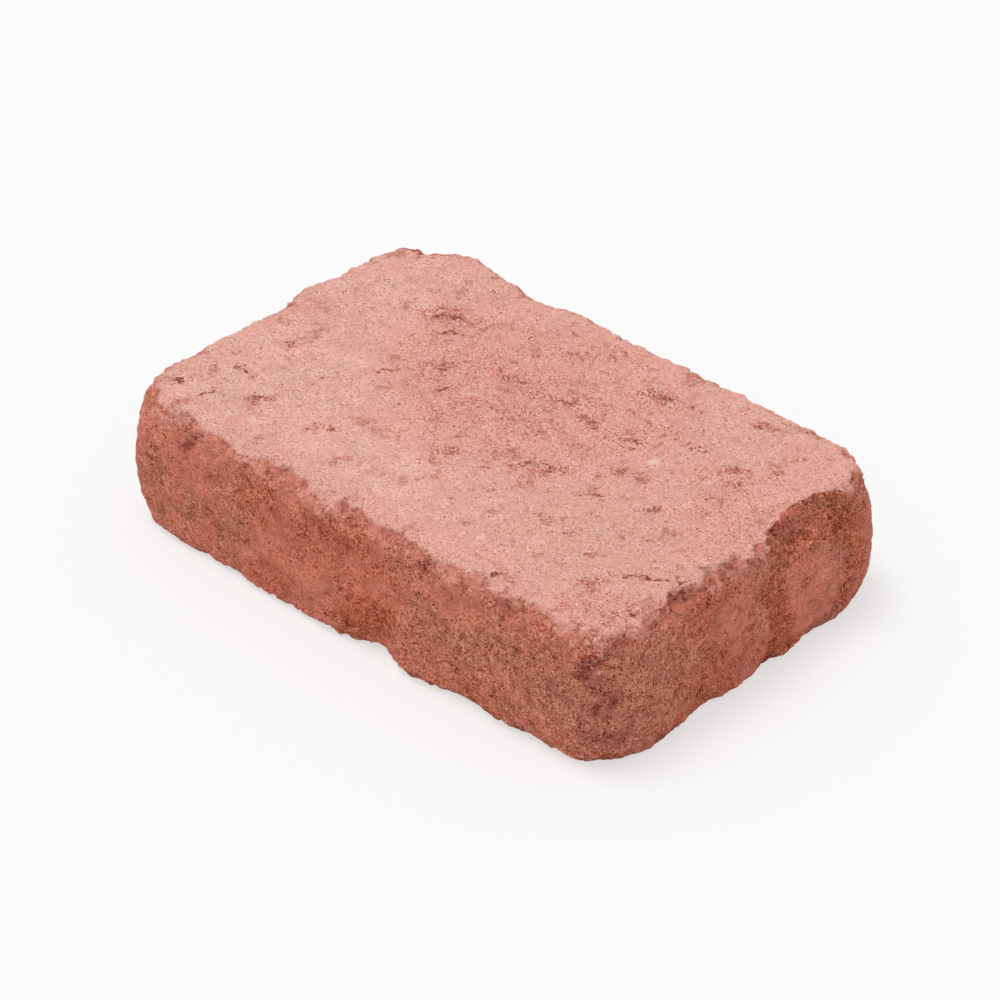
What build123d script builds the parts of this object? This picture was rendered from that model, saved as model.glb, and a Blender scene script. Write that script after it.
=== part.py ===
"""Tumbled concrete paving stone: one pressed block, its walls wavy, its arrises and corners worn in the drum.

The bed lies on z = 0 and the crown, the face that is walked on, at the top. The front wall faces -Y.
"""

import os
from math import cos, radians, sin

from build123d import *

# The nominal block, in millimetres
LENGTH = 228.0
WIDTH = 152.0
HEIGHT = 51.0

# Height of the belly, where the walls stand out furthest
BELLY_HEIGHT = 22.0

# How far the walls' corners lie inside the nominal block, along X and Y, at the bed, the belly and the foot
# of the crown's arris
FRONT_LEFT_INSET = ((2.2, 2.2), (0.7, 0.7), (2.2, 1.0))
FRONT_RIGHT_INSET = ((1.7, 2.8), (0.7, 0.7), (1.4, 1.2))
BACK_RIGHT_INSET = ((1.7, 2.2), (0.7, 1.6), (1.5, 4.4))
BACK_LEFT_INSET = ((2.2, 2.2), (0.7, 1.0), (2.3, 0.5))

# Rounding of each upright corner at the bed, the belly and the foot of the crown's arris
FRONT_LEFT_ROUND = (22.0, 21.0, 28.0)
FRONT_RIGHT_ROUND = (22.0, 18.0, 15.0)
BACK_RIGHT_ROUND = (27.0, 21.0, 24.0)
BACK_LEFT_ROUND = (20.0, 18.0, 20.0)

# The three layers, by their places in the two tables above
BED, BELLY, ARRIS = range(3)

# Steps in which an outline goes round a corner, and in which the arris turns over from wall to crown
CORNER_STEPS = 2
ARRIS_STEPS = 5

# Rounding worn along the crown's arris, and the bevel worn along the bed's
CROWN_ARRIS = 7.0
BED_BEVEL = 2.0

# Depth of a full wave in a wall, and of a full chip in the crown's arris
WAVE_DEPTH = 4.0
CHIP_DEPTH = 2.6

# Waves of each wall, anticlockwise from the front: share of the way from one rounded corner to the next,
# then share of a full wave that the wall is pushed in there at the bed and at the crown, and share of a full
# chip that is gone from the arris there
FRONT_WAVE_SHARES = [
    (0.09, -0.10, 0.10, 0.5),
    (0.17, 0.05, 0.15, -0.4),
    (0.27, -0.25, 0.35, 0.3),
    (0.37, -0.25, 0.30, -0.3),
    (0.47, -0.20, 0.20, 0.5),
    (0.525, 0.30, 0.15, -0.3),
    (0.575, 0.95, 0.10, 0.3),
    (0.635, -0.25, 0.05, -0.4),
    (0.71, -0.30, -0.20, 0.6),
    (0.80, 0.15, 0.00, -0.3),
    (0.88, -0.25, 0.10, 0.4),
    (0.95, 0.20, 0.05, -0.2),
]
RIGHT_WAVE_SHARES = [
    (0.12, -0.30, 0.20, 0.4),
    (0.29, 0.40, 0.00, -0.4),
    (0.43, 0.00, -0.30, 0.5),
    (0.57, 0.10, -0.25, -0.2),
    (0.71, 0.00, 0.10, 0.0),
    (0.85, 0.10, 0.00, 0.3),
]
BACK_WAVE_SHARES = [
    (0.12, 0.10, -0.15, 0.3),
    (0.21, 0.35, 0.40, -0.4),
    (0.32, 0.00, 0.10, 0.2),
    (0.49, 0.30, 0.40, -0.4),
    (0.66, 0.00, -0.30, 0.2),
    (0.755, 0.35, 0.75, -0.3),
    (0.84, 0.00, -0.25, 0.3),
    (0.94, 0.10, -0.30, -0.3),
]
LEFT_WAVE_SHARES = [
    (0.16, 0.00, 0.00, 0.2),
    (0.34, 0.35, -0.50, -0.4),
    (0.50, 0.05, 0.10, 0.3),
    (0.67, 0.30, 0.30, -0.4),
    (0.85, 0.00, -0.15, 0.3),
]

# Spalls broken off the crown's arris: radius of the scoop, and where its centre lies from the nearest
# crown corner of the nominal block, along X, Y and Z
RIGHT_SPALL_RADIUS = 37.0
RIGHT_SPALL_CENTRE = (26.0, -47.0, 12.0)
BACK_SPALL_RADIUS = 16.0
BACK_SPALL_CENTRE = (12.0, 3.5, 4.0)


def wall_points(start, end, wave_shares, rise, chip_share):
    """Points along one wall's waves.

    The rise goes from 0 at the bed to 1 at the crown, and the chip share from 0 at the foot of the arris
    to 1 at the crown.
    """
    along = end - start
    inward = Vector(-along.Y, along.X).normalized()
    points = []
    for place, at_bed, at_crown, chip in wave_shares:
        push = WAVE_DEPTH * (at_bed + (at_crown - at_bed) * rise) + CHIP_DEPTH * chip * chip_share
        points.append(start + along * place + inward * push)
    return points


def corner_points(corner, before, after, radius):
    """Points of a rounded corner, from where it leaves one wall to where it joins the next."""
    back = (before - corner).normalized()
    ahead = (after - corner).normalized()
    centre = corner + (back + ahead) * radius
    turns = [radians(90) * step / CORNER_STEPS for step in range(CORNER_STEPS + 1)]
    return [centre - (ahead * cos(turn) + back * sin(turn)) * radius for turn in turns]


def outline(layer, height, worn, chip_share):
    """Points of the block's outline at a height, anticlockwise from the front left corner.

    The layer gives its insets and rounds, worn is how far wear has drawn it in from them, and the chip
    share how much of the chips' depth it has.
    """
    insets = [FRONT_LEFT_INSET, FRONT_RIGHT_INSET, BACK_RIGHT_INSET, BACK_LEFT_INSET]
    rounds = [FRONT_LEFT_ROUND, FRONT_RIGHT_ROUND, BACK_RIGHT_ROUND, BACK_LEFT_ROUND]
    waves = [FRONT_WAVE_SHARES, RIGHT_WAVE_SHARES, BACK_WAVE_SHARES, LEFT_WAVE_SHARES]
    corners = []
    for (x_side, y_side), inset in zip(((-1, -1), (1, -1), (1, 1), (-1, 1)), insets):
        x_inset, y_inset = inset[layer]
        x = x_side * (LENGTH / 2 - x_inset - worn)
        y = y_side * (WIDTH / 2 - y_inset - worn)
        corners.append(Vector(x, y))
    turned = []
    for i, corner in enumerate(corners):
        after = corners[i + 1 - len(corners)]
        turned.append(corner_points(corner, corners[i - 1], after, rounds[i][layer] - worn))
    points = []
    for i, corner in enumerate(turned):
        following = turned[i + 1 - len(turned)]
        points += corner + wall_points(corner[-1], following[0], waves[i], height / HEIGHT, chip_share)
    return points


# The outlines, from the bed up: its bevel, the walls, and the arris from its foot to the crown
foot_height = HEIGHT - CROWN_ARRIS
heights = [0, BED_BEVEL, BELLY_HEIGHT, foot_height]
outlines = [
    outline(BED, 0, BED_BEVEL, 0),
    outline(BED, BED_BEVEL, 0, 0),
    outline(BELLY, BELLY_HEIGHT, 0, 0),
    outline(ARRIS, foot_height, 0, 0),
]
for step in range(1, ARRIS_STEPS + 1):
    turn = radians(90) * step / ARRIS_STEPS
    heights.append(foot_height + CROWN_ARRIS * sin(turn))
    outlines.append(outline(ARRIS, heights[-1], CROWN_ARRIS * (1 - cos(turn)), sin(turn)))

# The outlines share one set of distances between their points, the mean of them all, so that each wave
# keeps its line up the wall
distances = [0]
for i in range(len(outlines[0])):
    steps = [(points[i + 1 - len(points)] - points[i]).length for points in outlines]
    distances.append(distances[-1] + sum(steps) / len(steps))

with BuildPart() as stone:
    faces = []
    for points, height in zip(outlines, heights):
        with BuildSketch(Plane.XY.offset(height)) as section:
            with BuildLine():
                add(Edge.make_spline(points, periodic=True, parameters=distances))
            make_face()
        faces.append(section.sketch.face())
    loft(faces[:2], ruled=True)
    loft(faces[1:4])
    loft(faces[3:], ruled=True)
    with Locations(Vector(LENGTH / 2, WIDTH / 2, HEIGHT) + Vector(*RIGHT_SPALL_CENTRE)):
        Sphere(RIGHT_SPALL_RADIUS, mode=Mode.SUBTRACT)
    with Locations(Vector(-LENGTH / 2, WIDTH / 2, HEIGHT) + Vector(*BACK_SPALL_CENTRE)):
        Sphere(BACK_SPALL_RADIUS, mode=Mode.SUBTRACT)

# The waves leave the stone a little off the nominal block, so it is set back over the origin
middle = stone.part.bounding_box().center()
with BuildPart() as paving_stone:
    with Locations((-middle.X, -middle.Y, 0)):
        add(stone.part)

paving_stone.part.label = "paving_stone"
os.makedirs("parts", exist_ok=True)
export_step(paving_stone.part, "parts/paving_stone.step")
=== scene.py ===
"""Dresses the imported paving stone: the worn relief of its crown, arrises and walls, and its pigmented concrete.

Lengths in the tables below are in millimetres, in the stone's own frame: X along it, Y from the front wall to the
back wall, Z up from the bed.
"""

import math

import bpy
import numpy as np
from mathutils import Matrix, Vector, kdtree, noise


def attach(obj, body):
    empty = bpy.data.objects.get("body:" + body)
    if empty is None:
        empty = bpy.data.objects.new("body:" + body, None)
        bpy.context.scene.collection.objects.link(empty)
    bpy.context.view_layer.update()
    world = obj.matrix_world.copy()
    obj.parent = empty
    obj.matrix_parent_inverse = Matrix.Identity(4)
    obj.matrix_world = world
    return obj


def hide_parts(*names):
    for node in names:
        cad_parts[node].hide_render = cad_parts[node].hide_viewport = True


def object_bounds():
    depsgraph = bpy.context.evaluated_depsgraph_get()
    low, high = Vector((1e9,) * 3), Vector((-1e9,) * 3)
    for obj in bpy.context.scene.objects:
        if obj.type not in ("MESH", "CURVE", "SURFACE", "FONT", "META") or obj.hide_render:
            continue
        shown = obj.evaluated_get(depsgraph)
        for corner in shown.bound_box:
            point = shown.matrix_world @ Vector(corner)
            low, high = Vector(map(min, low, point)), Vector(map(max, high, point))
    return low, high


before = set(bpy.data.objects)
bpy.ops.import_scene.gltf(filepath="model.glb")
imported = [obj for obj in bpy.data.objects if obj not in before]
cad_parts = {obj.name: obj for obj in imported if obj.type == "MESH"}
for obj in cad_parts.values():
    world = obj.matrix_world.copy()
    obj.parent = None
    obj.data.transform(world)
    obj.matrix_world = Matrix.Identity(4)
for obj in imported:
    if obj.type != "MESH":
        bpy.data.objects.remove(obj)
CAD_LOW, CAD_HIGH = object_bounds()

bl_info = {
    "name": "Tumbled paving stone",
    "version": (1, 0, 0),
    "blender": (4, 5, 0),
    "location": "3D View > Sidebar > Paving",
    "description": "Wears and colours the packed paving stone, and sets it in a plain studio",
    "category": "Object",
}

MM = 0.001
SEED = 41

# Layers that tell the stone's faces apart: those of the bed and its edge are measured up from the floor, those of
# the crown, its arris and the chips in it down from the top
BED_LAYER = 0.4
BED_EDGE_LAYER = 3
CROWN_LAYER = 6
ARRIS_LAYER = 12
CHIP_DROP = 2

# Where the crown's arris is ragged: in front of one line, and right of another as far back as a third
RAGGED_FRONT = -62
RAGGED_RIGHT = 100
RAGGED_RIGHT_BACK = 60

# Sizes of the swells, lumps and grit that the surface is worn into, and of the tatters in the rims of its pits
SWELL_SIZE = 38
LUMP_SIZE = 9
GRIT_SIZE = 2.6
TATTER_SIZE = 2.0

# Sizes of the clouds that colour the walls in patches and that bend the zones of colour, and how far they bend them
PATCH_SIZE = 26
BEND_SIZE = 15
BEND_REACH = 7

# Features of the concrete's noise, and cells of its crumbs, specks and sand, to a millimetre
PATCHES_PER_MM = 0.035
MOTTLE_PER_MM = 0.16
SWAY_PER_MM = 0.22
GRAVEL_PER_MM = 0.42
CRUMBS_PER_MM = 0.6
SPECKS_PER_MM = 0.95
FINE_PER_MM = 1.1
JOLT_PER_MM = 1.2
SAND_PER_MM = 2.2

# How far noise pushes the pits aside, and the cells of crumbs and sand out of shape
PIT_SWAY = 10
CRUMB_JOLT = 1.8
SAND_JOLT = 0.4

# The stage, in metres: half the floor's width, the gap that keeps it off the bed's faces, and the lamp's direction
FLOOR_HALF = 3.0
FLOOR_GAP = 0.0003
LAMP_FROM = (-0.22, -0.14, 0.96)

# The camera's sensor, in millimetres, as its lens is
SENSOR_WIDTH = 36

# Open cracks in the crown: place along X and Y, half length, half width, turn in degrees and depth
CROWN_CRACKS = (
    (66, 58, 2.6, 1.4, 20, 0.7),
    (59, -66, 4.0, 1.1, 90, 1.0),
    (108, -35, 4.5, 1.2, 85, 1.2),
    (-57, 40, 4.0, 1.2, 40, 0.4),
    (-52, 30, 7.0, 1.0, 30, 0.5),
    (-50, -2, 7.0, 0.9, 57, 0.5),
    (-29, 1, 5.0, 0.9, 60, 0.5),
    (-85, -35, 2.6, 1.0, 10, 0.5),
    (-98, -55, 6.0, 1.0, 10, 0.5),
    (-86, -54, 6.0, 0.9, 70, 0.4),
    (43, 18, 2.2, 1.2, 50, 0.5),
    (26, 19, 2.2, 1.2, 60, 0.4),
    (49, -12, 4.2, 1.1, 43, 0.7),
    (53, -10, 3.0, 0.9, 50, 0.5),
    (97, -34, 14.0, 1.0, 36, 0.5),
    (106, -30, 6.0, 0.8, 60, 0.4),
)

# Crumbled pits in the crown: the same sizes
CROWN_PITS = (
    (-60, 38, 7.5, 4.0, 15, 0.4),
    (-87, -12, 2.5, 1.4, 20, 0.4),
    (-90, -36, 2.0, 1.4, 40, 0.4),
    (-81, -37, 1.6, 1.4, 0, 0.4),
    (-24, -54, 2.2, 2.0, 0, 0.5),
    (-39, -40, 2.6, 2.0, 30, 0.4),
    (-44, -43, 2.0, 1.4, 60, 0.4),
    (57, 7, 3.2, 2.8, 0, 0.8),
    (66, 59, 3.4, 1.8, 20, 0.8),
    (40, 22, 3.2, 1.6, 30, 0.5),
    (37, 25, 1.6, 1.1, 0, 0.4),
    (22, 22, 3.6, 2.0, 20, 0.5),
    (30, 49, 6.0, 3.5, 10, 0.4),
    (24, -13, 5.0, 2.0, 43, 0.4),
    (32, -10, 5.0, 2.0, 50, 0.4),
    (72, -5, 3.0, 2.0, 30, 0.5),
    (69, -8, 1.6, 1.1, 0, 0.4),
    (110, -33, 3.4, 2.2, 80, 0.7),
    (77, 31, 3.0, 1.6, 20, 0.4),
    (83, 26, 3.0, 1.6, 50, 0.4),
    (61, -33, 2.0, 1.5, 40, 0.4),
    (9, 25, 5.0, 2.5, 30, 0.4),
    (48, 5, 2.6, 1.5, 20, 0.4),
    (60, 33, 4.5, 1.6, 40, 0.4),
    (0, -25, 4.0, 2.0, 40, 0.4),
    (-14, 24, 4.0, 2.0, 20, 0.3),
    (-38, 12, 5.0, 2.0, 45, 0.3),
    (-70, -44, 5.0, 2.0, 50, 0.3),
    (84, -48, 4.0, 2.0, 40, 0.4),
    (104, -52, 4.0, 2.5, 60, 0.4),
    (88, 40, 2.4, 1.4, 30, 0.4),
)

# Low swellings of the crown: place along X and Y, half width and height
CROWN_SWELLINGS = (
    (92, -27, 4.0, 0.9),
    (57, 8, 6.5, 0.35),
    (-35, -58, 9.0, 0.5),
    (40, -60, 10.0, 0.5),
)

# Chips broken off the crown's arris along the walls in sight: place along X and Y, half length, half width and depth
ARRIS_CHIPS = (
    (57, -70, 5.0, 3.2, 1.9),
    (50, -72, 5.0, 3.0, 1.3),
    (-28, -70, 7.0, 3.0, 1.3),
    (-44, -70, 6.0, 3.0, 1.0),
    (-62, -72, 7.0, 3.0, 1.4),
    (-80, -70, 6.0, 3.5, 1.5),
    (8, -72, 8.0, 3.0, 1.2),
    (28, -72, 6.0, 3.0, 1.5),
    (78, -72, 7.0, 3.0, 1.1),
    (96, -70, 6.0, 3.5, 1.2),
    (110, -48, 6.0, 3.0, 1.1),
    (110, -34, 5.0, 2.6, 2.2),
    (110, -14, 6.0, 3.0, 1.0),
)

# Pits and chips strewn by chance, in order: where and how many, then the least and the greatest half length, half
# width and depth, and how far they lean from the surface's normal
STREWN = (
    ("ragged_arris", 240, (1.2, 5.0), (1.0, 3.0), (0.3, 1.7), 0.4),
    ("even_arris", 160, (1.2, 4.0), (1.0, 2.5), (0.2, 0.8), 0.2),
    ("crown", 420, (0.7, 2.4), (0.6, 1.2), (0.25, 0.8), 0.1),
    ("walls", 1100, (0.7, 2.6), (0.7, 1.6), (0.3, 1.0), 0.2),
    ("bed_edge", 90, (2.0, 6.0), (1.5, 3.5), (0.3, 1.2), 0.3),
)

# Zones of colour: place along X, Y and Z, reach along each, and strength
RED_ZONES = (
    (-8, 14, 51, 46, 36, 30, 1.0),
    (30, 34, 51, 26, 18, 30, 0.7),
    (-58, 37, 51, 15, 9, 30, 0.9),
    (78, 29, 51, 14, 9, 30, 0.6),
    (28, -12, 51, 14, 7, 30, 0.7),
    (99, -61, 51, 22, 13, 30, 0.8),
    (95, 6, 51, 16, 20, 30, 0.6),
    (-9, 50, 51, 30, 14, 30, 0.5),
)
PALE_ZONES = (
    (-72, -30, 51, 40, 40, 30, 0.8),
    (-20, -50, 51, 45, 18, 30, 0.8),
    (-88, 40, 51, 28, 30, 30, 0.7),
    (20, -40, 51, 22, 20, 30, 0.5),
    (60, 40, 51, 26, 24, 30, 0.4),
)
TAN_ZONES = (
    (72, -32, 51, 38, 32, 30, 0.9),
    (88, 8, 51, 22, 26, 30, 0.4),
)
BROWN_ZONES = (
    (66, -76, 20, 42, 14, 26, 0.8),
    (-53, -76, 24, 4, 12, 26, 0.7),
    (-5, -76, 22, 4, 12, 26, 0.6),
    (-66, -76, 22, 9, 12, 9, 0.9),
    (100, -74, 20, 12, 12, 28, 0.8),
    (113, -50, 24, 12, 26, 28, 0.7),
    (-112, -62, 34, 6, 8, 20, 0.9),
    (-97, -74, 28, 12, 14, 18, 0.6),
)
ORANGE_ZONES = (
    (-2, -76, 40, 24, 14, 8, 0.8),
    (9, -76, 14, 13, 14, 16, 1.0),
    (28, -76, 34, 10, 14, 8, 0.5),
    (-38, -76, 36, 14, 14, 8, 0.5),
    (112, -11, 14, 12, 7, 8, 0.9),
    (112, 20, 5, 12, 8, 6, 0.8),
    (113, 12, 22, 12, 7, 26, 1.0),
    (112, 50, 24, 14, 8, 22, 0.9),
    (112, 40, 46, 14, 24, 10, 0.9),
)
PINK_ZONES = (
    (-30, -76, 24, 14, 14, 13, 0.7),
    (-8, -76, 20, 18, 14, 14, 0.5),
    (12, -76, 32, 14, 14, 10, 0.6),
    (-60, -76, 38, 14, 14, 6, 0.5),
    (112, -10, 28, 12, 9, 15, 1.0),
    (112, 32, 18, 12, 12, 12, 1.0),
    (50, -76, 40, 12, 14, 5, 0.6),
)
MAROON_ZONES = (
    (106, -74, 40, 7, 10, 10, 1.0),
    (112, -66, 26, 6, 9, 8, 0.8),
    (110, -70, 12, 8, 10, 7, 1.0),
)

# Balls that the CAD model's spalls are scooped by: centre and radius
SPALLS = (
    (140, 29, 63, 37),
    (-102, 79.5, 55, 16),
)

# Pale grains that show in the crown: place along X and Y, and half width
PALE_GRAINS = (
    (54, 17, 2.1),
    (17, 7, 1.2),
    (75, 20, 1.0),
    (42, -54, 1.6),
    (14, 26, 1.1),
)


class StoneSettings(bpy.types.PropertyGroup):
    """Sizes and colours of the worn stone."""

    mesh_step: bpy.props.FloatProperty(
        name="Mesh step", description="Edge length of the stone's mesh", default=0.00091, unit="LENGTH"
    )
    bed_share: bpy.props.FloatProperty(
        name="Bed share", description="Share of the bed's faces that is kept", default=0.12, subtype="FACTOR"
    )
    crown_relief: bpy.props.FloatProperty(
        name="Crown relief", description="Height of the crown's lumps", default=0.0002, unit="LENGTH"
    )
    wall_relief: bpy.props.FloatProperty(
        name="Wall relief", description="Height of the walls' lumps", default=0.0006, unit="LENGTH"
    )
    grain_relief: bpy.props.FloatProperty(
        name="Grain relief", description="Height of the sand grain", default=0.0008, unit="LENGTH"
    )
    crown_pink: bpy.props.FloatVectorProperty(
        name="Crown", description="Colour of the crown", default=(0.84, 0.412, 0.342), subtype="COLOR"
    )
    crown_red: bpy.props.FloatVectorProperty(
        name="Red crown", description="Where the crown is worn red", default=(0.79, 0.312, 0.247), subtype="COLOR"
    )
    crown_pale: bpy.props.FloatVectorProperty(
        name="Pale crown", description="Where lime has bloomed", default=(0.88, 0.51, 0.437), subtype="COLOR"
    )
    crown_tan: bpy.props.FloatVectorProperty(
        name="Tan crown", description="Where sand shows in the crown", default=(0.80, 0.425, 0.335), subtype="COLOR"
    )
    wall_red: bpy.props.FloatVectorProperty(
        name="Walls", description="Colour of the walls", default=(0.69, 0.218, 0.152), subtype="COLOR"
    )
    wall_brown: bpy.props.FloatVectorProperty(
        name="Brown walls", description="Where the walls are sandy", default=(0.58, 0.202, 0.126), subtype="COLOR"
    )
    wall_orange: bpy.props.FloatVectorProperty(
        name="Orange walls", description="Where pigment has smeared", default=(0.49, 0.10, 0.039), subtype="COLOR"
    )
    wall_pink: bpy.props.FloatVectorProperty(
        name="Pink walls", description="Where the walls are smooth", default=(0.73, 0.228, 0.155), subtype="COLOR"
    )
    maroon: bpy.props.FloatVectorProperty(
        name="Stains", description="Dark stains near the front corner", default=(0.30, 0.07, 0.055), subtype="COLOR"
    )
    arris_red: bpy.props.FloatVectorProperty(
        name="Arris", description="Where the arris is rubbed", default=(0.76, 0.275, 0.20), subtype="COLOR"
    )
    wall_sand: bpy.props.FloatVectorProperty(
        name="Wall sand", description="Grains that show in the walls", default=(0.87, 0.42, 0.295), subtype="COLOR"
    )
    crown_sand: bpy.props.FloatVectorProperty(
        name="Crown sand", description="Grains that show in the crown", default=(1.0, 0.76, 0.68), subtype="COLOR"
    )
    # Colour of the painted shade in pits, chips, cracks and crevices, and of the dark specks of sand
    painted_shade_and_speck_tint: bpy.props.FloatVectorProperty(
        name="Hollows", description="Tint of pits, cracks and dark sand", default=(0.34, 0.13, 0.06), subtype="COLOR"
    )
    grit_tint: bpy.props.FloatVectorProperty(
        name="Grit", description="Tint of the darker grains", default=(0.5, 0.25, 0.12), subtype="COLOR"
    )
    pale_sand: bpy.props.FloatVectorProperty(
        name="Pale sand", description="Pale grains of sand", default=(0.88, 0.60, 0.50), subtype="COLOR"
    )


class StudioSettings(bpy.types.PropertyGroup):
    """Floor, light and camera."""

    floor_white: bpy.props.FloatVectorProperty(
        name="Floor", description="Colour of the floor", default=(0.92, 0.92, 0.92), subtype="COLOR"
    )
    floor_glow: bpy.props.FloatProperty(
        name="Floor glow", description="How far the floor shows as plain white", default=0.6, subtype="FACTOR"
    )
    room_light: bpy.props.FloatProperty(name="Room light", description="Strength of the light all round", default=0.6)
    lamp_light: bpy.props.FloatProperty(name="Lamp", description="Strength of the lamp overhead", default=1.35)
    lamp_spread: bpy.props.FloatProperty(
        name="Lamp spread", description="Angle over which the lamp spreads", default=math.radians(25), subtype="ANGLE"
    )
    azimuth: bpy.props.FloatProperty(
        name="Azimuth", description="Camera's turn from the front wall", default=math.radians(42.73), subtype="ANGLE"
    )
    elevation: bpy.props.FloatProperty(
        name="Elevation", description="Camera's height above the floor", default=math.radians(34.11), subtype="ANGLE"
    )
    distance: bpy.props.FloatProperty(
        name="Distance", description="From the stone's middle to the camera", default=1.2042, unit="LENGTH"
    )
    lens: bpy.props.FloatProperty(name="Lens", description="Focal length in millimetres", default=127.36)
    aim_right: bpy.props.FloatProperty(
        name="Aim right", description="From the stone's middle to the picture's", default=0.00024, unit="LENGTH"
    )
    aim_up: bpy.props.FloatProperty(
        name="Aim up", description="From the stone's middle to the picture's", default=-0.00505, unit="LENGTH"
    )


class Value:
    """A shader socket with a number; sums on it add Math nodes."""

    def __init__(self, finish, socket):
        self.finish = finish
        self.socket = socket

    def sum_with(self, operation, first, second):
        return self.finish.node("ShaderNodeMath", {"operation": operation}, {0: first, 1: second})

    def __add__(self, other):
        return self.sum_with("ADD", self, other)

    __radd__ = __add__

    def __sub__(self, other):
        return self.sum_with("SUBTRACT", self, other)

    def __rsub__(self, other):
        return self.sum_with("SUBTRACT", other, self)

    def __mul__(self, other):
        return self.sum_with("MULTIPLY", self, other)

    __rmul__ = __mul__


class Finish:
    """A material or world, and the nodes that are added to it."""

    def __init__(self, owner):
        owner.use_nodes = True
        self.tree = owner.node_tree
        self.tree.nodes.clear()

    def node(self, kind, settings, sockets, output=0):
        """Adds a node: its settings first, then the values or links of its sockets."""
        made = self.tree.nodes.new(kind)
        for name, setting in settings.items():
            setattr(made, name, setting)
        for place, given in sockets.items():
            if isinstance(given, Value):
                self.tree.links.new(given.socket, made.inputs[place])
            elif isinstance(given, tuple) and made.inputs[place].type == "RGBA":
                made.inputs[place].default_value = (*given, 1)
            else:
                made.inputs[place].default_value = given
        if not made.outputs:
            return None
        return Value(self, made.outputs[output])

    def blend(self, first, second, share):
        """A colour that goes from the first to the second with the share."""
        return self.node("ShaderNodeMix", {"data_type": "RGBA"}, {0: share, 6: first, 7: second}, 2)

    def tint(self, colour, by, share):
        """A colour multiplied by another, as far as the share says."""
        settings = {"data_type": "RGBA", "blend_type": "MULTIPLY"}
        return self.node("ShaderNodeMix", settings, {0: share, 6: colour, 7: by}, 2)

    def scale(self, colour, by):
        """A colour made lighter or darker."""
        return self.node("ShaderNodeVectorMath", {"operation": "SCALE"}, {0: colour, "Scale": by})

    def step(self, value, low, high):
        """A number from 0 at low to 1 at high, with soft ends."""
        sockets = {"Value": value, "From Min": low, "From Max": high}
        return self.node("ShaderNodeMapRange", {"interpolation_type": "SMOOTHSTEP"}, sockets)

    def clamp(self, value):
        """A number kept from 0 to 1."""
        return self.node("ShaderNodeClamp", {}, {"Value": value})

    def mask(self, name):
        """A mask kept on the mesh."""
        return self.node("ShaderNodeAttribute", {"attribute_name": name}, {}, "Fac")

    def push(self, place, noise_colour, reach):
        """A place that noise pushes along each axis, by up to so many millimetres."""
        sockets = {0: noise_colour, 1: (reach * MM,) * 3, 2: place}
        return self.node("ShaderNodeVectorMath", {"operation": "MULTIPLY_ADD"}, sockets)


def soft_step(x, low, high):
    """From 0 at low to 1 at high, with soft ends."""
    t = np.clip((x - low) / (high - low), 0, 1)
    return t * t * (3 - 2 * t)


def clouds(points, size, octaves, seed):
    """Noise from about -1 to 1 over the points, with features of about that size."""
    shift = Vector((seed * 13.7, seed * 5.3, seed * 29.1))
    return np.array([noise.fractal(Vector(p) / size + shift, 1.0, 2.0, octaves) for p in points.tolist()]) * 1.4


def zone(points, rows):
    """How strongly zones of colour cover the points."""
    cover = np.zeros(len(points))
    for x, y, z, reach_x, reach_y, reach_z, strength in rows:
        away = (points - (x, y, z)) / (reach_x, reach_y, reach_z)
        cover = np.maximum(cover, strength * (1 - soft_step(np.linalg.norm(away, axis=1), 0.55, 1.3)))
    return cover


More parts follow.
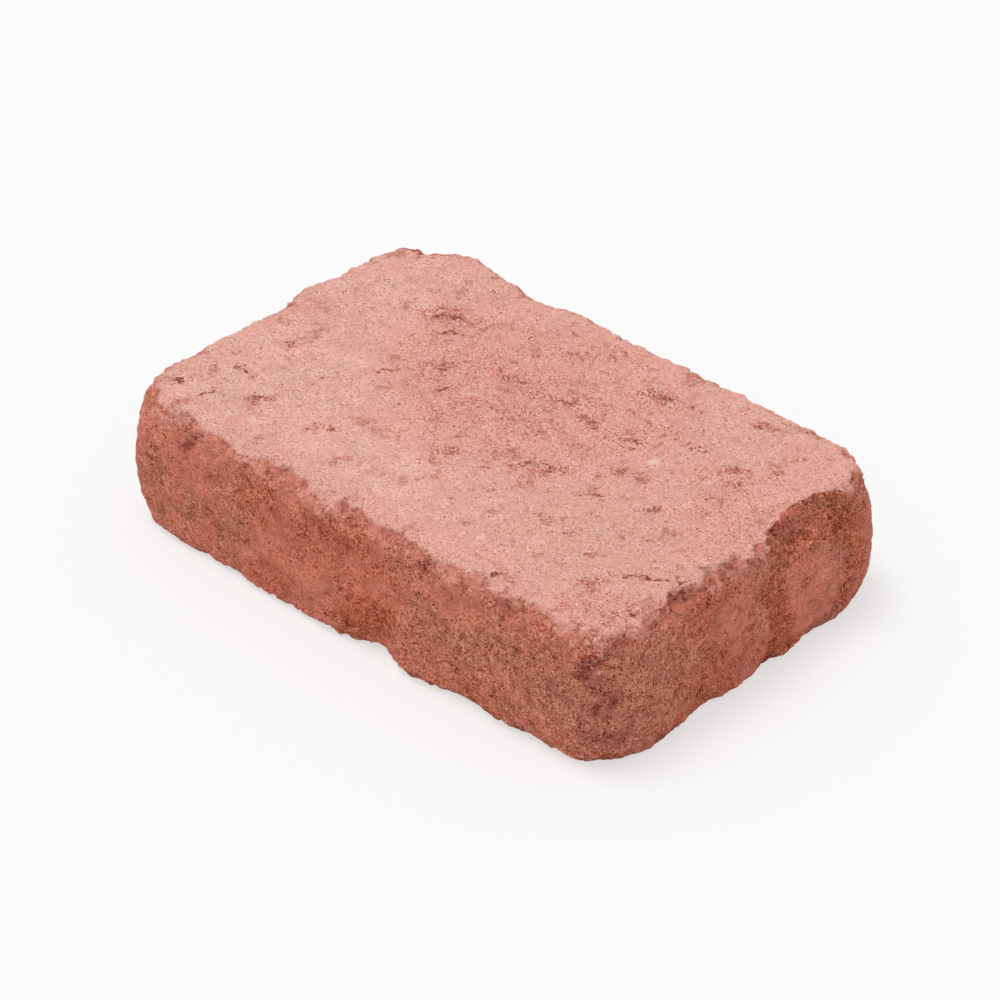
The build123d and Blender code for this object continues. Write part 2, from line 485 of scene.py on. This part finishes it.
class Surface:
    """The stone's points while it is worn, in millimetres, and how far each lies on the crown, arris, wall or bed."""

    def __init__(self, mesh):
        count = len(mesh.vertices)
        flat = np.empty(count * 3)
        mesh.vertices.foreach_get("co", flat)
        self.points = flat.reshape(-1, 3) / MM
        self.start = self.points.copy()
        mesh.vertices.foreach_get("normal", flat)
        self.normals = flat.reshape(-1, 3).copy()
        self.cut = np.zeros(count)
        self.tree = kdtree.KDTree(count)
        for i, point in enumerate(self.points.tolist()):
            self.tree.insert(point, i)
        self.tree.balance()

        self.tatters = clouds(self.start, TATTER_SIZE, 2, SEED)
        self.swells = clouds(self.start, SWELL_SIZE, 2, SEED + 1)
        self.lumps = clouds(self.start, LUMP_SIZE, 3, SEED + 2)
        self.grit = clouds(self.start, GRIT_SIZE, 2, SEED + 3)

        x, y, height = self.start.T
        upward = self.normals[:, 2]
        self.top = height.max()
        self.near_top = height > self.top - ARRIS_LAYER
        self.bed = height < BED_LAYER
        self.crown = soft_step(upward, 0.75, 0.97) * (height > self.top - CROWN_LAYER)
        self.arris = soft_step(upward, 0.05, 0.35) * (1 - soft_step(upward, 0.9, 0.99)) * self.near_top
        self.wall = (1 - self.crown) * ~self.bed
        self.ragged_side = (y < RAGGED_FRONT) | (x > RAGGED_RIGHT) & (y < RAGGED_RIGHT_BACK)

    def lift(self, height):
        """Moves the points out by that height."""
        self.points += self.normals * height[:, None]

    def scoop(self, centre, out, along, half_length, half_width, depth):
        """Scoops a tattered bowl out of the surface at the centre."""
        across = np.cross(out, along)
        reach = max(half_length, half_width) * 1.4
        near = np.array([i for _, i, _ in self.tree.find_range(Vector(centre), reach)], int)
        if not len(near):
            return
        away = self.points[near] - centre
        spread = (away @ along / half_length) ** 2 + (away @ across / half_width) ** 2
        cut = away @ out + depth * (1 - spread ** 2 * (1 + self.tatters[near]))
        cut = np.where(spread < 1.6, np.clip(cut, 0, depth * 1.3), 0)
        self.points[near] -= cut[:, None] * out
        self.cut[near] += cut

    def scoop_at(self, place, half_length, half_width, turn, depth, lean=(0, 0, 0)):
        """Scoops where the surface is nearest to a place, along its normal plus a lean, turned about it."""
        _, i, _ = self.tree.find(Vector(place))
        out = self.normals[i] + lean
        out /= np.linalg.norm(out)
        level = np.array((-out[1], out[0], 0.0))
        if np.linalg.norm(level) < 0.2:
            level = np.array((1.0, 0.0, 0.0))
        level -= out * (level @ out)
        level /= np.linalg.norm(level)
        along = level * math.cos(turn) + np.cross(out, level) * math.sin(turn)
        self.scoop(self.points[i].copy(), out, along, half_length, half_width, depth)

    def strew(self, luck, where, count, half_length, half_width, depth, lean):
        """Scoops a number of chance pits or chips out of part of the surface; small ones come oftener."""
        ranges = (half_length, half_width, depth)
        for i in luck.choice(np.nonzero(where)[0], count, replace=False):
            long, wide, deep = (low + (high - low) * luck.random() ** 2 for low, high in ranges)
            self.scoop_at(self.start[i], long, wide, luck.random() * math.pi, deep, luck.normal(0, lean, 3))

    def write_to(self, mesh):
        """Moves the mesh's points to the worn ones, none of them below the bed."""
        self.points[:, 2] = np.maximum(self.points[:, 2], 0)
        mesh.vertices.foreach_set("co", (self.points * MM).ravel())
        mesh.update()


def even_copy(source, step, bed_share):
    """An evenly meshed copy of the CAD stone, with a coarser bed."""
    blank = bpy.data.objects.new("stone_blank", source.data.copy())
    bpy.context.scene.collection.objects.link(blank)
    remesh = blank.modifiers.new("even_mesh", "REMESH")
    remesh.mode = "VOXEL"
    remesh.voxel_size = step
    mesh = bpy.data.meshes.new_from_object(blank.evaluated_get(bpy.context.evaluated_depsgraph_get()))
    blank.modifiers.clear()
    blank.data = mesh
    bed = blank.vertex_groups.new(name="bed")
    heights = np.empty(len(mesh.vertices) * 3)
    mesh.vertices.foreach_get("co", heights)
    low = np.nonzero(heights[2::3] < BED_LAYER * MM)[0]
    bed.add(low.tolist(), 1.0, "REPLACE")
    thin = blank.modifiers.new("thin_bed", "DECIMATE")
    thin.vertex_group = "bed"
    faces = len(mesh.polygons)
    bed_faces = faces * len(low) / len(mesh.vertices)
    thin.ratio = 1 - (1 - bed_share) * bed_faces / faces
    bpy.context.view_layer.update()
    thinned = bpy.data.meshes.new_from_object(blank.evaluated_get(bpy.context.evaluated_depsgraph_get()))
    bpy.data.objects.remove(blank)
    thinned.name = "paving_stone"
    return thinned


def raise_lumps(stone, settings):
    """Lifts the surface into swells, lumps and grit."""
    swells, lumps, grit = stone.swells, stone.lumps, stone.grit
    rise = stone.crown * (settings.crown_relief / MM) * (1.5 * swells + lumps + 0.5 * grit)
    rise += stone.wall * (settings.wall_relief / MM) * (0.9 * swells + lumps + 0.45 * grit)
    rise += stone.arris * np.where(stone.ragged_side, 0.4 * lumps + 0.6 * grit, 0.25 * lumps + 0.25 * grit)
    rise[stone.bed] = 0
    for x, y, half_width, height in CROWN_SWELLINGS:
        away = np.hypot(stone.start[:, 0] - x, stone.start[:, 1] - y) / half_width
        rise += stone.crown * height * np.clip(1 - away ** 2, 0, 1)
    stone.lift(rise)


def break_surface(stone):
    """Scoops out the tables' cracks, pits and chips, and then many small ones by chance."""
    for x, y, half_length, half_width, turn, depth in CROWN_CRACKS + CROWN_PITS:
        stone.scoop_at((x, y, stone.top), half_length, half_width, math.radians(turn), depth)
    for x, y, half_length, half_width, depth in ARRIS_CHIPS:
        stone.scoop_at((x, y, stone.top - CHIP_DROP), half_length, half_width, 0, depth)
    places = {
        "ragged_arris": (stone.arris > 0.4) & stone.ragged_side,
        "even_arris": (stone.arris > 0.4) & ~stone.ragged_side,
        "crown": stone.crown > 0.9,
        "walls": (stone.wall > 0.9) & (stone.arris < 0.1),
        "bed_edge": (stone.start[:, 2] < BED_EDGE_LAYER) & ~stone.bed,
    }
    luck = np.random.default_rng(SEED)
    for where, count, half_length, half_width, depth, lean in STREWN:
        stone.strew(luck, places[where], count, half_length, half_width, depth, lean)


def keep_masks(mesh, stone):
    """Keeps on the mesh the masks that its concrete is coloured by, and one for the painted shade in its pits and
    chips.
    """
    start, lumps, grit = stone.start, stone.lumps, stone.grit
    bent = start + np.stack([clouds(start, BEND_SIZE, 3, SEED + k) for k in (11, 12, 13)], 1) * BEND_REACH
    patchy = clouds(start, PATCH_SIZE, 3, SEED + 21)
    worn_normals = np.empty(len(start) * 3)
    mesh.vertices.foreach_get("normal", worn_normals)
    steep = 1 - soft_step(worn_normals[2::3], 0.35, 0.8)
    spalled = np.zeros(len(start))
    for x, y, z, radius in SPALLS:
        past_rim = np.linalg.norm(start - (x, y, z), axis=1) - radius + 0.9 * lumps + 0.7 * grit
        spalled = np.maximum(spalled, 1 - soft_step(past_rim, 0.2, 2.4))
    pale_grain = np.zeros(len(start))
    for x, y, half_width in PALE_GRAINS:
        away = np.hypot(start[:, 0] - x, start[:, 1] - y) * (1 + 0.4 * stone.tatters) / half_width
        pale_grain = np.maximum(pale_grain, stone.crown * (1 - soft_step(away, 0.5, 1.1)))
    upward = stone.normals[:, 2] + 0.18 * lumps + 0.12 * grit - 0.08 * stone.cut
    masks = {
        "crown": soft_step(upward, 0.12, 0.82) * stone.near_top * (1 - spalled),
        "arris": soft_step(upward, 0.2, 0.45) * (1 - soft_step(upward, 0.8, 0.95)) * stone.near_top,
        "chipped": np.maximum(soft_step(stone.cut, 0.1, 0.6), steep) * stone.arris * (1 - 0.5 * spalled),
        "spalled": spalled,
        # Painted shade in the scooped pits and chips, fainter on the arris
        "hollow": soft_step(stone.cut, 0.15, 0.8) * (1 - 0.6 * stone.arris),
        "height": np.clip(0.5 + 0.3 * lumps + 0.3 * grit, 0, 1),
        "red": zone(bent, RED_ZONES),
        "pale": zone(bent, PALE_ZONES),
        "tan": zone(bent, TAN_ZONES),
        "brown": np.maximum(zone(bent, BROWN_ZONES), 0.6 * soft_step(patchy, 0.1, 0.5)),
        "orange": np.maximum(zone(bent, ORANGE_ZONES), 0.5 * soft_step(-patchy, 0.25, 0.6)),
        "pink": zone(bent, PINK_ZONES),
        "maroon": zone(bent, MAROON_ZONES),
        "pale_grain": pale_grain,
    }
    for name, values in masks.items():
        kept = mesh.attributes.new(name, "FLOAT", "POINT")
        kept.data.foreach_set("value", values.astype(np.float32))


def wear(mesh, settings):
    """Wears the mesh as the drum and the weather do."""
    stone = Surface(mesh)
    raise_lumps(stone, settings)
    break_surface(stone)
    stone.write_to(mesh)
    keep_masks(mesh, stone)


def pit_distance(f, place, rows, farthest=9.0):
    """Distance to the nearest of a table's pits or cracks, 1 at its rim."""
    sway = f.node("ShaderNodeTexNoise", {}, {"Vector": place, "Scale": SWAY_PER_MM / MM, "Detail": 3.0}, "Color")
    swayed = f.push(place, sway, PIT_SWAY)
    nearest = farthest
    for x, y, half_length, half_width, turn, _ in rows:
        laid = f.node(
            "ShaderNodeMapping",
            {"vector_type": "TEXTURE"},
            {
                "Vector": swayed,
                "Location": ((x + PIT_SWAY / 2) * MM, (y + PIT_SWAY / 2) * MM, 0.0),
                "Rotation": (0.0, 0.0, math.radians(turn)),
                "Scale": (half_length * MM, half_width * MM, 1.0),
            },
        )
        away = f.node("ShaderNodeVectorMath", {"operation": "LENGTH"}, {0: laid}, "Value")
        nearest = f.node("ShaderNodeMath", {"operation": "MINIMUM"}, {0: away, 1: nearest})
    return nearest


def pigmented_concrete(settings):
    """Sandy red concrete: patches of colour from the mesh's masks, sand and crumbs from noise."""
    material = bpy.data.materials.new("pigmented_concrete")
    f = Finish(material)
    place = f.node("ShaderNodeTexCoord", {}, {}, "Object")

    def cloudy(per_mm, detail, roughness):
        """Noise with that many features to a millimetre."""
        sockets = {"Vector": place, "Scale": per_mm / MM, "Detail": detail, "Roughness": roughness}
        return f.node("ShaderNodeTexNoise", {}, sockets)

    def cells(jolted, per_mm, output, feature="F1"):
        """Cells, that many to a millimetre."""
        sockets = {"Vector": jolted, "Scale": per_mm / MM}
        return f.node("ShaderNodeTexVoronoi", {"feature": feature}, sockets, output)

    def chance(cell_colours, channel):
        """A number from 0 to 1 that is the same all over a cell."""
        return f.node("ShaderNodeSeparateColor", {}, {0: cell_colours}, channel)

    def colour(name):
        return tuple(getattr(settings, name))

    # Clouds of noise, from broad patches down to fine sand
    patches = cloudy(PATCHES_PER_MM, 3.0, 0.55)
    mottle = cloudy(MOTTLE_PER_MM, 4.0, 0.65)
    gravel = cloudy(GRAVEL_PER_MM, 3.0, 0.7)
    fine = cloudy(FINE_PER_MM, 3.0, 0.7)
    gravel_swing = gravel - 0.5
    fine_swing = fine - 0.5
    ragged = 0.8 * gravel_swing + 0.6 * fine_swing

    # Cells of sand, specks and crumbs, jolted out of shape
    jolt = f.node("ShaderNodeTexNoise", {}, {"Vector": place, "Scale": JOLT_PER_MM / MM, "Detail": 1.0}, "Color")
    sandy = f.push(place, jolt, SAND_JOLT)
    shattered = f.push(place, jolt, CRUMB_JOLT)
    grain = chance(cells(sandy, SAND_PER_MM, "Color"), 0)
    speck = cells(sandy, SPECKS_PER_MM, "Distance")
    speck_colours = cells(sandy, SPECKS_PER_MM, "Color")
    crumb = chance(cells(shattered, CRUMBS_PER_MM, "Color"), 0)
    gap = cells(shattered, CRUMBS_PER_MM, "Distance", "DISTANCE_TO_EDGE")

    # Where the crown, its cracks and pits, the broken arris and the gritty patches lie
    brown, orange, pink, spalled = f.mask("brown"), f.mask("orange"), f.mask("pink"), f.mask("spalled")
    crown = f.step(f.mask("crown") + ragged, 0.25, 0.75)
    wall = 1 - crown
    # Painted shade along the crown's open cracks
    crack_shade = 1.2 * fine_swing + 1.6 * gravel_swing - pit_distance(f, place, CROWN_CRACKS)
    crack_shade = f.step(crack_shade, -0.8, -0.4) * crown
    pit = pit_distance(f, place, CROWN_PITS) + 1.5 * gravel_swing
    crumbled = (1 - f.step(pit, 0.6, 1.8)) * crown
    # Painted shade in the dark cores of the crumbled pits
    pit_core_shade = (1 - f.step(pit + 0.8 * fine_swing, 0.2, 0.55)) * crown
    edge = f.step(f.mask("arris") * (1 - 0.7 * spalled) + ragged, 0.4, 0.8)
    broken = f.clamp(edge + crumbled)
    # Painted shade in the crevices between crumbs of the broken arris and the pits
    crevice_shade = (1 - f.step(gap + 0.25 * fine_swing, 0.02, 0.14)) * f.step(gravel, 0.42, 0.58) * broken
    gritty_wall = 0.6 * mottle + 0.25 * gravel + 0.15 * patches + 0.1 * brown - 0.1 * pink + 0.08 * orange
    gritty_crown = 0.7 * f.step(0.5 * mottle + 0.5 * gravel + 0.06 * f.mask("red"), 0.46, 0.62) + crumbled
    gritty = f.step(gritty_wall, 0.45, 0.6) * wall + f.clamp(gritty_crown) * crown

    # The colours of the crown, the walls and the rubbed arris
    top = f.blend(colour("crown_pink"), colour("crown_pale"), f.mask("pale") * f.step(mottle, 0.35, 0.6))
    top = f.blend(top, colour("crown_tan"), f.mask("tan") * 0.9)
    top = f.blend(top, colour("crown_red"), f.clamp(f.mask("red") * f.step(mottle, 0.3, 0.6) + 0.7 * crumbled))
    side = f.blend(colour("wall_red"), colour("wall_brown"), brown)
    side = f.blend(side, colour("wall_orange"), orange * (0.65 + 0.35 * f.step(mottle, 0.35, 0.6)))
    side = f.blend(side, colour("wall_pink"), pink)
    side = f.blend(side, colour("wall_sand"), brown * (1 - orange) * f.step(gravel, 0.48, 0.7) * 0.4)
    side = f.blend(side, colour("wall_orange"), spalled * f.step(gravel, 0.3, 0.6) * 0.8)
    side = f.blend(side, colour("maroon"), f.mask("maroon") * f.step(mottle + 0.5 * gravel, 0.47, 0.7))
    rubbed = f.clamp(edge * f.step(crumb, 0.3, 0.5) * 0.5 + f.mask("chipped") * 0.8)
    body = f.blend(f.blend(side, top, crown), colour("arris_red"), rubbed)

    # Lighter and darker patches, then the grit: dark grains tint the body, light ones are sand
    # The height mask makes raised lumps of the relief paler where worn, and its low spots darker as painted shade
    waver = 0.35 * (mottle - 0.5) + 0.3 * (patches - 0.5) + 0.3 * gravel_swing + 0.2 * (f.mask("height") - 0.5)
    body = f.scale(body, 1 + waver * (1.7 - 1.1 * crown))
    coarse = (0.45 + 0.55 * gritty) * wall + (0.4 + 0.5 * gritty) * crown
    lumpy = f.clamp(broken + 0.9 * gritty * wall)
    grit = coarse * ((grain - 0.5) + 0.6 * fine_swing) + 0.5 * lumpy * (crumb - 0.5)
    body = f.tint(body, colour("grit_tint"), f.clamp(-2 * grit))
    pale = f.step(chance(speck_colours, 1) + 0.2 * gritty, 0.98, 1.1) * (1 - f.step(speck, 0.25, 0.4))
    pale = f.clamp(pale + 0.5 * edge * f.step(crumb, 0.9, 0.95) * f.step(gap, 0.08, 0.2))
    sand = f.blend(colour("wall_sand"), colour("crown_sand"), crown * (1 - 0.85 * edge))
    body = f.blend(body, sand, f.clamp(grit * (1 + 0.4 * crown) + pale * 0.7))

    # Dark specks, and the painted shade in cracks, crevices and pits
    dark = f.step(chance(speck_colours, 0) + 0.5 * gritty - 0.08 * crown, 0.85, 1.0)
    dark = dark * (1 - f.step(speck + 0.5 * fine_swing, 0.22 + 0.06 * crumbled, 0.42))
    light = (1 - 0.9 * dark) * (1 - f.mask("hollow") * (0.3 - 0.18 * crown)) * (1 - 0.9 * crack_shade)
    light = light * (1 - crevice_shade * (0.35 + 0.1 * crumbled)) * (1 - 0.55 * pit_core_shade)
    # Tints the body darker with the painted shade and the dark specks
    body = f.tint(body, colour("painted_shade_and_speck_tint"), 1 - light)
    body = f.blend(body, colour("pale_sand"), f.mask("pale_grain"))

    # Relief that is too fine for the mesh
    rise = 0.3 * fine + 0.2 * grain + 0.5 * gravel + f.mask("arris") * (0.4 * gap + 0.3 * crumb)
    bumps = f.node("ShaderNodeBump", {}, {"Strength": 1.0, "Distance": settings.grain_relief, "Height": rise})
    shader = f.node(
        "ShaderNodeBsdfPrincipled",
        {},
        {"Base Color": body, "Roughness": 0.82 + 0.16 * fine, "Specular IOR Level": 0.1, "Normal": bumps},
    )
    f.node("ShaderNodeOutputMaterial", {}, {"Surface": shader})
    return material


def background_rays(f):
    """1 for the rays that show the background: the camera's, and those that metal or glass would turn."""
    kinds = ("Is Camera Ray", "Is Glossy Ray", "Is Transmission Ray")
    camera, glossy, clear = (f.node("ShaderNodeLightPath", {}, {}, kind) for kind in kinds)
    return f.clamp(camera + glossy + clear)


class MakePavingStone(bpy.types.Operator):
    """Wear an even copy of the CAD stone and give it its concrete"""

    bl_idname = "paving.make_stone"
    bl_label = "Make paving stone"

    def execute(self, context):
        settings = context.scene.stone_settings
        mesh = even_copy(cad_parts["paving_stone"], settings.mesh_step, settings.bed_share)
        wear(mesh, settings)
        mesh.polygons.foreach_set("use_smooth", np.ones(len(mesh.polygons), bool))
        mesh.materials.clear()
        mesh.materials.append(pigmented_concrete(settings))
        stone = bpy.data.objects.new("worn_stone", mesh)
        context.scene.collection.objects.link(stone)
        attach(stone, "root")
        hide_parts("paving_stone")
        return {"FINISHED"}


class SetStudio(bpy.types.Operator):
    """Lay the floor, light the room and set the camera"""

    bl_idname = "paving.set_studio"
    bl_label = "Set studio"

    def execute(self, context):
        settings = context.scene.studio_settings
        self.lay_floor(context, settings)
        self.light_room(context, settings)
        self.set_camera(context, settings)
        context.scene.view_settings.view_transform = "Standard"
        return {"FINISHED"}

    def lay_floor(self, context, settings):
        """Lays a broad floor just under the bed; it shows nearly white, and keeps the stone's shadow."""
        mesh = bpy.data.meshes.new("floor")
        corners = [(x * FLOOR_HALF, y * FLOOR_HALF, -FLOOR_GAP) for x, y in ((-1, -1), (1, -1), (1, 1), (-1, 1))]
        mesh.from_pydata(corners, [], [(0, 1, 2, 3)])
        material = bpy.data.materials.new("floor_white")
        f = Finish(material)
        seen = background_rays(f)
        white = f.node("ShaderNodeEmission", {}, {"Color": (1.0, 1.0, 1.0), "Strength": 1.0})
        paper = f.node("ShaderNodeBsdfDiffuse", {}, {"Color": tuple(settings.floor_white)})
        shown = f.node("ShaderNodeMixShader", {}, {0: settings.floor_glow * seen, 1: paper, 2: white})
        f.node("ShaderNodeOutputMaterial", {}, {"Surface": shown})
        mesh.materials.append(material)
        floor = bpy.data.objects.new("floor", mesh)
        context.scene.collection.objects.link(floor)

    def light_room(self, context, settings):
        """Makes the room white all round, and hangs a lamp over the stone."""
        world = bpy.data.worlds.new("studio_room")
        context.scene.world = world
        f = Finish(world)
        seen = background_rays(f)
        room = f.node(
            "ShaderNodeBackground",
            {},
            {"Color": (1.0, 1.0, 1.0), "Strength": settings.room_light + (1 - settings.room_light) * seen},
        )
        f.node("ShaderNodeOutputWorld", {}, {"Surface": room})
        lamp = bpy.data.lights.new("overhead_lamp", "SUN")
        lamp.energy = settings.lamp_light
        lamp.angle = settings.lamp_spread
        hung = bpy.data.objects.new("overhead_lamp", lamp)
        hung.rotation_euler = Vector(LAMP_FROM).to_track_quat("Z", "Y").to_euler()
        context.scene.collection.objects.link(hung)

    def set_camera(self, context, settings):
        """Sets the camera where the stone is seen as it was first pictured."""
        turn, tilt = settings.azimuth, settings.elevation
        back = Vector((math.sin(turn) * math.cos(tilt), -math.cos(turn) * math.cos(tilt), math.sin(tilt)))
        right = Vector((math.cos(turn), math.sin(turn), 0))
        up = back.cross(right)
        camera = bpy.data.objects.new("camera", bpy.data.cameras.new("camera"))
        camera.data.lens = settings.lens
        camera.data.sensor_width = SENSOR_WIDTH
        aim = Vector((0, 0, CAD_HIGH[2] / 2)) + right * settings.aim_right + up * settings.aim_up
        turned = Matrix((right, up, back)).transposed().to_4x4()
        camera.matrix_world = Matrix.Translation(aim + back * settings.distance) @ turned
        context.scene.collection.objects.link(camera)
        context.scene.camera = camera


class PavingPanel(bpy.types.Panel):
    """Settings and steps of the paving stone"""

    bl_idname = "VIEW3D_PT_paving"
    bl_label = "Paving stone"
    bl_space_type = "VIEW_3D"
    bl_region_type = "UI"
    bl_category = "Paving"

    def draw(self, context):
        for owner, operator in (
            (context.scene.stone_settings, MakePavingStone),
            (context.scene.studio_settings, SetStudio),
        ):
            box = self.layout.box()
            for name in owner.__annotations__:
                box.prop(owner, name)
            box.operator(operator.bl_idname)


CLASSES = (StoneSettings, StudioSettings, MakePavingStone, SetStudio, PavingPanel)


def register():
    for each in CLASSES:
        bpy.utils.register_class(each)
    bpy.types.Scene.stone_settings = bpy.props.PointerProperty(type=StoneSettings)
    bpy.types.Scene.studio_settings = bpy.props.PointerProperty(type=StudioSettings)


def unregister():
    del bpy.types.Scene.studio_settings
    del bpy.types.Scene.stone_settings
    for each in reversed(CLASSES):
        bpy.utils.unregister_class(each)


def main():
    register()
    bpy.ops.paving.make_stone()
    bpy.ops.paving.set_studio()


if __name__ == "__main__":
    main()
